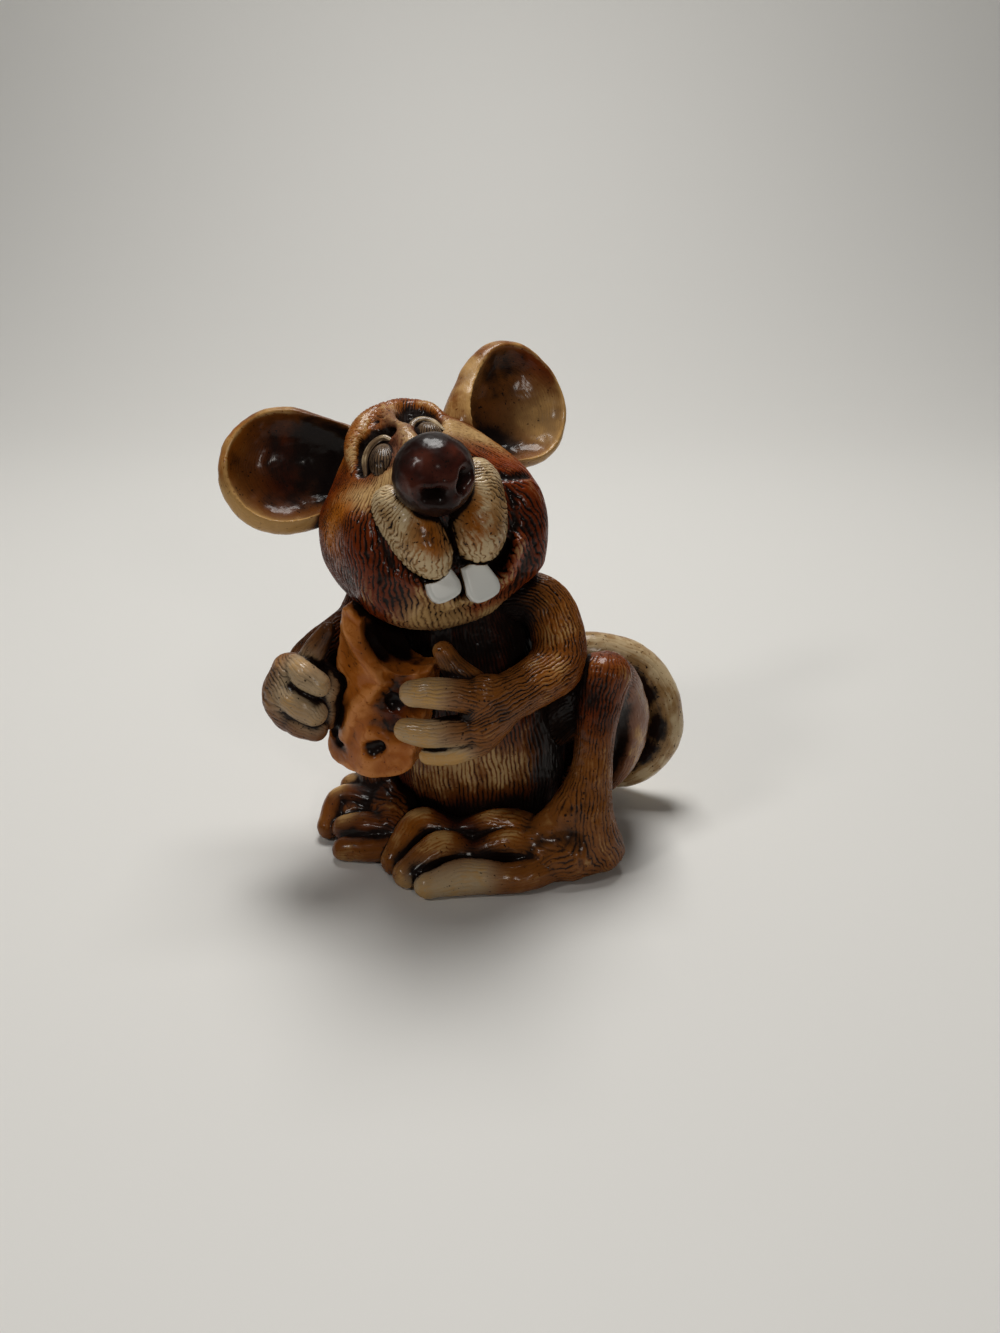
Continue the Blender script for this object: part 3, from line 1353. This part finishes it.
# %% Rolls of the right arm
right_palm = {
    "arm": [
        [-7, -6, 52, ARM], [-15, -7, 53.5, ARM], [-19, -13.6, 50, ARM], [-16.4, -20.6, 46, ARM],
        *beside_cheese(-1, [[4.6, 10, 1.6, ARM - 0.2], [4, 4.6, -2, ARM + 0.2]]),
    ],
    "fist": beside_cheese(-1, [
        [4.2, 1.8, 3.2, ARM - 0.4], [5.2, 0.9, -1.8, ARM + 0.6], [4.4, 0.9, -5.2, ARM],
    ]),
    "upper palm": beside_cheese(-1, [[3, 4, 1, ARM - 0.4], [-1.6, 3.4, -1, ARM - 0.6]]),
    "lower palm": beside_cheese(-1, [[3, 3, -4, ARM - 0.6], [-1.6, 3, -5, ARM - 1]]),
}
right_fingers = {
    "first": beside_cheese(-1, [
        [3.4, 0.2, 5.2, FINGER - 0.7], [0.6, -1.8, 4.2, FINGER - 0.3], [-2, -1.6, 2.6, FINGER - 0.5],
    ]),
    "second": beside_cheese(-1, [
        [5.4, -0.8, 0.8, FINGER - 0.5], [2.8, -2.8, -0.8, FINGER], [-1, -2.4, -3, FINGER - 0.2],
    ]),
    "third": beside_cheese(-1, [
        [5.4, 0, -4.6, FINGER - 0.6], [3.2, -1.8, -5.8, FINGER - 0.2], [-0.6, -1.2, -7.2, FINGER - 0.4],
    ]),
    "thumb": beside_cheese(-1, [
        [1.8, 2.6, 5, FINGER - 0.4], [-0.4, 3, 9, FINGER - 0.8], [-2.4, 3.2, 12, FINGER - 1.4],
    ]),
}
print("right arm:", ", ".join(right_palm), "and", len(right_fingers), "fingers")

# %% Right arm
knuckles = [right_fingers[name][0][:3] for name in ("second", "third")]
model_arm("arm_right", right_palm, right_fingers, 1.0, (0.46, 0.42), 12.0, [
    ([[-17, -18, 50], [-14, -30, 42]], 7, 0.72, MAHOGANY),
    (knuckles, 4.5, 0.6, (0.12, 0.045, 0.022)),
    (places(right_fingers["third"], 1, 2), 3, 0.7, MAHOGANY),
    (places(right_fingers["thumb"], 0, 2), 2.4, 0.9, UMBER),
], [
    (cheese_line((-14.1, -3, 1.6), (-9.5, -3, -0.2)), 1.1, 1.3, UMBER),
    (cheese_line((-15.5, -3.2, -3.2), (-10.1, -3, -5.2)), 1.1, 1.3, UMBER),
])

# %% [markdown]
# ## Legs
# A leg is a thick roll for the haunch, a slimmer one for the shin, and a foot with long knuckled toes. It
# is joined as an arm is: first the thick rolls, with a fillet, then the toes, so that the dark slots
# between them stay open. The hair follows the haunch, thigh and shin, and the toes are bare.

# %% Modelling a leg
SHIN = 4.7
HAUNCH = 8.2
TOE = 3.0
FILLET = 1.3
HAIRY_ROLLS = 3
BARE_FOOT = 0.95
TOE_REACH = 4.6


def model_leg(node, limb, folds, toes, smooth_places, seed, dabs):
    limb_paths = [smooth_path(stations) for stations in limb.values()]
    toe_paths = [smooth_path(stations) for stations in toes.values()]
    leg = filleted(node, limb_paths, FILLET, voxel=0.4)
    press(leg, folds)
    absorb(leg, rolls("toes", toe_paths))
    knead(leg, voxel=0.32, soften=6)
    dent(leg, size=5, depth=0.6)
    set_down(leg)
    limb_flow(leg, limb_paths[:HAIRY_ROLLS] + toe_paths)
    bare_lines = [(path[ROOT_ROWS:, :3], TOE_REACH, 1.0) for path in toe_paths]
    bare_lines += [(line, reach, 1.0) for line, reach in smooth_places]
    haired = 1 - BARE_FOOT * bareness(leg, bare_lines)
    draw_hair(leg, haired, Pitch=0.8, Length=4.0, Depth=0.22, Sway=2.8, Seed=seed)
    paint(leg, 0.6, GOLD, dabs)
    keep(node, leg, "tan_glaze")


# %% Rolls of the left leg
left_limb = {
    "haunch": [
        [8, 8, 11, HAUNCH], [19, 13, 13, HAUNCH], [25.5, 13, 24, HAUNCH - 1], [28, 8, 35, HAUNCH - 2],
        [29.5, 3.5, 40, HAUNCH - 3],
    ],
    "thigh": [[8, 4, 20, HAUNCH - 1], [18, 4, 28, HAUNCH - 2], [26, 5.5, 37, HAUNCH - 3]],
    "shin": [
        [29.5, 3, 40.5, SHIN + 1], [31, -1, 30, SHIN - 0.6], [32.2, -3.6, 19, SHIN - 0.4],
        [33.5, -4.5, 9, SHIN + 0.6], [35, -2.5, 4.2, SHIN + 0.2],
    ],
    "ankle": [[31.8, -3, 22, SHIN - 0.8], [29.6, -7, 13, SHIN], [25.4, -10.6, 7.4, SHIN - 0.6]],
    "foot": [[34, -3, 4, SHIN], [31, -8.4, 5, SHIN + 1.4], [28, -12.4, 4.2, SHIN + 0.6]],
    "instep": [[30, -8, 8, SHIN - 0.6], [25.4, -12.4, 6.4, SHIN - 0.5]],
}
left_toes = {
    "inner": [
        [26, -10.4, 7, TOE + 0.9], [16.4, -13.4, 7.2, TOE + 1.2], [9.4, -18.4, 5.4, TOE],
        [3.4, -23.5, 6.6, TOE + 0.8], [4, -32.2, 2.6, TOE - 0.1],
    ],
    "middle": [
        [27.6, -12.5, 5, TOE + 0.8], [21.6, -15.6, 5.8, TOE + 1.0], [16.2, -20.6, 4.2, TOE + 0.1],
        [11.4, -25.8, 5.4, TOE + 0.8], [9.4, -33.8, 2.6, TOE - 0.1],
    ],
    "outer": [
        [30, -13, 3.4, TOE + 0.4], [26.6, -20.6, 2.8, TOE + 0.2], [19.4, -27.4, 3.2, TOE + 0.7],
        [15.4, -33.6, 2.4, TOE - 0.2],
    ],
}
left_folds = [([[31, 7, 33], [30, 8.5, 26], [29.4, 9, 19], [28, 8, 12]], -2.6, 1.7)]
left_smooth = [
    ([[22, 17, 12], [28, 14, 22], [30, 9, 33]], 7),
    ([[30, -9, 9.6], [27, -11, 10], [27, -13, 7]], 5.4),
]
print("left leg:", ", ".join(left_limb), "and", len(left_toes), "toes")

# %% Left leg
model_leg("leg_left", left_limb, left_folds, left_toes, left_smooth, 13.0, [
    ([[29.5, 3, 41], [31, -2, 36]], 7, 0.78, RUSSET),
    ([[24, 16, 12], [30, 13, 22], [31, 9, 33]], 6.5, 0.34, ROSE),
    ([[12, 1, 22], [18, -1, 27], [24, 0, 33]], 6, 1.4, UMBER),
    ([[31, 7, 34], [30, 8.5, 26], [29.4, 9, 19], [28, 8, 10]], 2.3, 1.3, UMBER),
    ([[22, -27, 4], [15, -35, 2]], 3.8, 0.4, CREAM),
    ([[9, -24, 7], [3, -28, 6]], 3, 0.5, AMBER),
    ([[16, -21, 7], [12, -17.6, 7]], 3, 0.82, MAHOGANY),
    ([[19.4, -16, 7.4], [13, -21.6, 6.4], [7.4, -25, 6.6], [6.6, -33, 4]], 1.6, 1.2, UMBER),
    ([[24.6, -17.6, 5.4], [18.4, -24.4, 5.4], [12.4, -34, 4]], 1.6, 1.3, UMBER),
    ([[10, -19, 8], [6, -21, 8]], 2.8, 0.9, MAHOGANY),
    ([[16, -14, 11]], 3, 0.1, AMBER),
    ([[21.4, -16, 9]], 3, 0.1, AMBER),
    ([[11.2, -26.6, 9]], 3, 0.08, AMBER),
    ([[3.2, -24, 10]], 2.8, 0.14, AMBER),
])

# %% Rolls of the right leg
right_limb = {
    "haunch": [
        [-8, 8, 11, HAUNCH], [-19, 12, 13, HAUNCH], [-25.5, 9, 24, HAUNCH - 1], [-27, 2, 35, HAUNCH - 2],
        [-26, -3, 40, HAUNCH - 3],
    ],
    "thigh": [[-8, 4, 20, HAUNCH - 1], [-17, 3, 28, HAUNCH - 2], [-23, 0, 37, HAUNCH - 3]],
    "shin": [
        [-26, -3, 40.5, SHIN + 1], [-25, -9, 30, SHIN], [-21, -14, 18, SHIN], [-14, -18, 8, SHIN + 1],
    ],
    "ankle": [[-12, -16, 6, SHIN], [-15, -21, 4.6, SHIN - 0.4]],
    "foot": [[-14, -17, 6.6, SHIN + 0.4], [-7, -22, 5.4, SHIN + 0.8], [-2, -26, 4.4, SHIN]],
    "instep": [[-10, -22, 4.4, SHIN - 0.4], [-15, -27.4, 3.6, SHIN - 1.4]],
}
right_toes = {
    "top": [[-5, -20.5, 7.4, TOE], [-12, -20, 8, TOE + 0.2], [-20, -21.7, 6.4, TOE]],
    "middle": [[0, -26.5, 4.4, TOE + 0.3], [-6, -29, 4.8, TOE + 0.3], [-11.5, -31.6, 3.6, TOE]],
    "low": [[1, -29, 3, TOE], [-3, -33, 2.6, TOE - 0.3], [-7.4, -35.8, 2.2, TOE - 0.5]],
    "bent": [[-8, -22, 6.6, TOE], [-18.4, -26.8, 6, TOE - 0.1], [-16, -32.6, 2.4, TOE - 0.5]],
}
right_folds = [([[-31, -3, 33], [-30, -6, 24], [-28, -7, 14]], -2.8, 1.7)]
print("right leg:", ", ".join(right_limb), "and", len(right_toes), "toes")

# %% Right leg
model_leg("leg_right", right_limb, right_folds, right_toes, [], 14.0, [
    ([[-12, -2, 24], [-17, -3, 29], [-22, -4, 36]], 5.5, 1.3, UMBER),
    ([[-10, -22, 8], [-18, -26, 6]], 5, 0.85, MAHOGANY),
    ([[0, -27, 5], [-10, -33, 3]], 4.5, 0.8, MAHOGANY),
    ([[-4, -23.6, 8], [-10, -24.6, 8], [-17, -24.2, 7]], 1.6, 1.2, UMBER),
    ([[-2, -30.6, 5], [-9.4, -33.6, 3.6]], 1.4, 1.2, UMBER),
    ([[-19.4, -27, 9]], 2.4, 0.14, TAN),
    ([[-11.4, -31, 7]], 2.4, 0.14, TAN),
    ([[-19, -22, 9.6]], 2.4, 0.2, TAN),
])

# %% [markdown]
# ## Tail
# A smooth roll that comes out behind the haunch and curls up against the back. The rag did not reach
# the inside of the curl, so each point that looks towards the middle of the curl keeps more oxide.

# %% Tail
TAIL = 4.6
CURL_MIDDLE = (19, 20, 20)
CURL_WASH = 0.95
tail_path = smooth_path([
    [2, 12, 7, TAIL + 1.2],
    [12, 22, 6.4, TAIL + 0.6],
    [21.6, 25, 8, TAIL + 0.2],
    [26.6, 28.8, 15, TAIL],
    [25.4, 30, 23.6, TAIL],
    [20.6, 27.6, 31.6, TAIL - 0.2],
    [13.5, 20.6, 35.6, TAIL - 0.6],
    [5, 11, 35, TAIL - 1],
])
tail = rolls("tail", [tail_path])
knead(tail, voxel=0.32, soften=6)
dent(tail, size=5, depth=0.5)
set_down(tail)
limb_flow(tail, [tail_path])
draw_hair(tail, 0.15, Pitch=1.2, Length=10.0, Depth=0.08, Sway=2.0, Seed=15.0)
paint(tail, 0.22, TAN)
tail_points = points_of(tail)
gap = np.linalg.norm(tail_points[:, None] - tail_path[None, :, :3], axis=2)
axis_points = tail_path[gap.argmin(1), :3]
inward = (unit(np.array(CURL_MIDDLE) - axis_points) * (tail_points - axis_points)).sum(1) / TAIL
store(tail, "wash", read(tail, "wash") + CURL_WASH * soft_step(inward, middle=0.2, width=0.1))
keep("tail", tail, "cream_glaze")

# %% [markdown]
# ## Where the oxide stays
# The rag wipes what stands out and leaves what lies deep. Two numbers say this for each point. Hollow is
# how far the skin lies under its own smoothed copy. Shelter is how many of a few rays, sent out around
# the normal, soon hit clay. A shader's own occlusion would be lost in an export, so Geometry Nodes find
# both on one joined copy of the figure, where each piece also knows its neighbours, and the numbers are
# then handed back to the pieces. The head was wiped harder than the rest.

# %% The recess tree
RAYS = 14
REACH = 9.0
LIFT = 0.12
SHELTER_BLUR = 4
HOLLOWS = {"fine_hollow": (8, 0.5), "wide_hollow": (60, 0.45)}
HOLLOW_RANGE = (-0.1, 0.6)
WIPED = {"head": 0.72}


def build_recess_tree():
    tree, given, out = new_group(
        "recesses",
        "GeometryNodeTree",
        [
            ("Geometry", "Geometry", None),
            ("Reach", "Float", REACH * MM),
            ("Lift", "Float", LIFT * MM),
        ],
        [("Geometry", "Geometry")],
    )
    where = add_node(tree, "GeometryNodeInputPosition").outputs[0]
    normal = add_node(tree, "GeometryNodeInputNormal").outputs[0]

    def vector(operation, a, b=None, **more):
        inputs = {0: a, **more}
        if b is not None:
            inputs[1] = b
        return add_node(tree, "ShaderNodeVectorMath", inputs, operation=operation)

    rise = vector("SCALE", normal, Scale=given["Lift"]).outputs[0]
    start = vector("ADD", where, rise).outputs[0]
    total = None
    # The golden angle between one ray and the next spreads them evenly over a ball
    for k in range(RAYS):
        level = 1 - 2 * (k + 0.5) / RAYS
        turn = k * math.pi * (3 - math.sqrt(5))
        wide = math.sqrt(1 - level * level)
        aim = vector("ADD", normal, (wide * math.cos(turn), wide * math.sin(turn), level)).outputs[0]
        ray = add_node(tree, "GeometryNodeRaycast", {
            "Target Geometry": given["Geometry"], "Source Position": start, "Ray Direction": aim,
            "Ray Length": given["Reach"],
        })
        far = math_node(tree, "DIVIDE", ray.outputs["Hit Distance"], given["Reach"])
        near = math_node(tree, "SUBTRACT", 1.0, far)
        hit = math_node(tree, "MULTIPLY", ray.outputs["Is Hit"], math_node(tree, "MAXIMUM", near, 0.0))
        total = hit if total is None else math_node(tree, "ADD", total, hit)
    share = math_node(tree, "DIVIDE", total, float(RAYS))
    even = {0: share, "Iterations": SHELTER_BLUR}
    soft = add_node(tree, "GeometryNodeBlurAttribute", even, data_type="FLOAT")
    layers = {"shelter": soft.outputs[0]}
    for name, (rounds, weight) in HOLLOWS.items():
        even = {"Iterations": rounds}
        blurred = add_node(tree, "GeometryNodeBlurAttribute", even, data_type="FLOAT_VECTOR")
        tree.links.new(where, [i for i in blurred.inputs if i.name == "Value" and i.enabled][0])
        below = vector("SUBTRACT", [o for o in blurred.outputs if o.enabled][0], where).outputs[0]
        depth = vector("DOT_PRODUCT", below, normal).outputs["Value"]
        layers[name] = math_node(tree, "DIVIDE", depth, MM)
    shape = given["Geometry"]
    for name, value in layers.items():
        shape = store_layer(tree, shape, name, value)
    tree.links.new(shape, out["Geometry"])
    return tree


recess_tree = build_recess_tree()
print("node tree:", recess_tree.name)

# %% Reading the recesses
joined = new_object("joined", np.zeros((0, 3)))
body = bmesh.new()
for obj, slot in pieces.values():
    body.from_mesh(obj.data)
body.to_mesh(joined.data)
body.free()
run_tree(joined, recess_tree, {})
plain(joined)
shelter = read(joined, "shelter")
hollow = sum(weight * read(joined, name) for name, (rounds, weight) in HOLLOWS.items())
bpy.data.objects.remove(joined)
first = 0
for node, (obj, slot) in pieces.items():
    last = first + len(obj.data.vertices)
    store(obj, "shelter", shelter[first:last] * WIPED.get(node, 1.0))
    depth = hollow[first:last] - np.median(hollow[first:last])
    store(obj, "hollow", np.clip(depth, *HOLLOW_RANGE))
    print(f"{node}: shelter {np.percentile(shelter[first:last], (50, 90, 98)).round(2)},", end=" ")
    print(f"hollow {np.percentile(depth, (5, 50, 95)).round(3)}")
    first = last

# %% [markdown]
# ## Handing over
# Each piece gets its glaze, stands for its CAD node and rides on the figure's one body. The pieces could be
# joined into one mesh, as they are in the kiln, but apart each keeps its name and its finish.

# %% Riding on the frame
for node, (obj, slot) in pieces.items():
    obj.data.materials.clear()
    obj.data.materials.append(glazes[slot])
    obj.data.polygons.foreach_set("material_index", np.zeros(len(obj.data.polygons), np.int32))
    obj.data.polygons.foreach_set("use_smooth", np.ones(len(obj.data.polygons), bool))
    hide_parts(node)
    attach(obj, "root")
print(f"{len(pieces)} pieces ride on the root")
